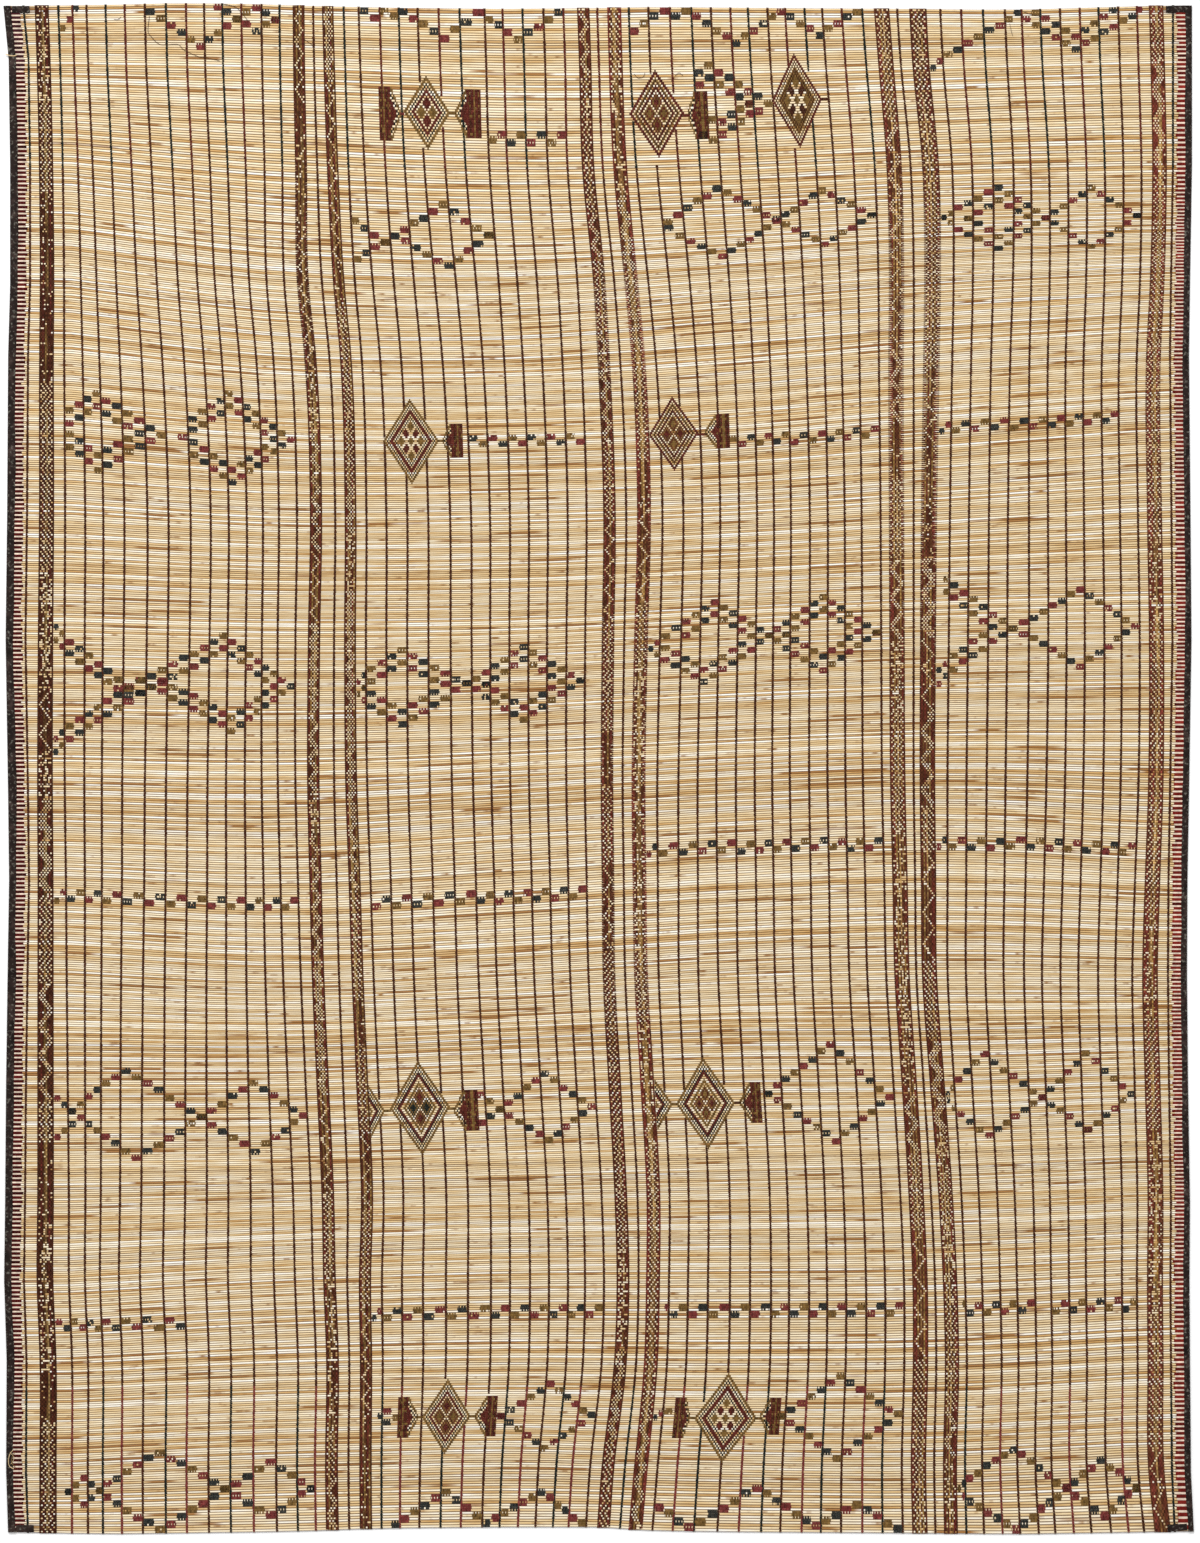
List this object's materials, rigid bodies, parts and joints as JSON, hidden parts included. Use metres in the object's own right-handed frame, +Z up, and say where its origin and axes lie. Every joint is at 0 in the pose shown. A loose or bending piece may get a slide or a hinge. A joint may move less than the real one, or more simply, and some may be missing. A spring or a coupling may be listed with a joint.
{
  "type": "tuareg mat",
  "caption": "Large flat floor mat of grass stems held by woven leather strips, patterned bands and lozenges, with folded leather edges.",
  "frame": {"origin": "on the ground under the middle of the mat's box", "axes": "+X along the grass stems, +Y along the leather strips towards the upper end, +Z up out of the patterned face"},
  "size_m": [2.382, 3.0614, 0.0049],
  "materials": {
    "stems": "dry split grass stems, straw coloured with tan streaks",
    "strip_leather": "narrow dyed goat leather, dark brown, red, olive and black",
    "edge_leather": "worn black leather, low sheen"
  },
  "bodies": {
    "root": {"mat_panel": "stems", "binding_left": "edge_leather", "binding_right": "edge_leather", "corner_top_left": "edge_leather", "corner_top_right": "edge_leather", "corner_bottom_left": "edge_leather", "corner_bottom_right": "edge_leather"}
  },
  "joints": []
}
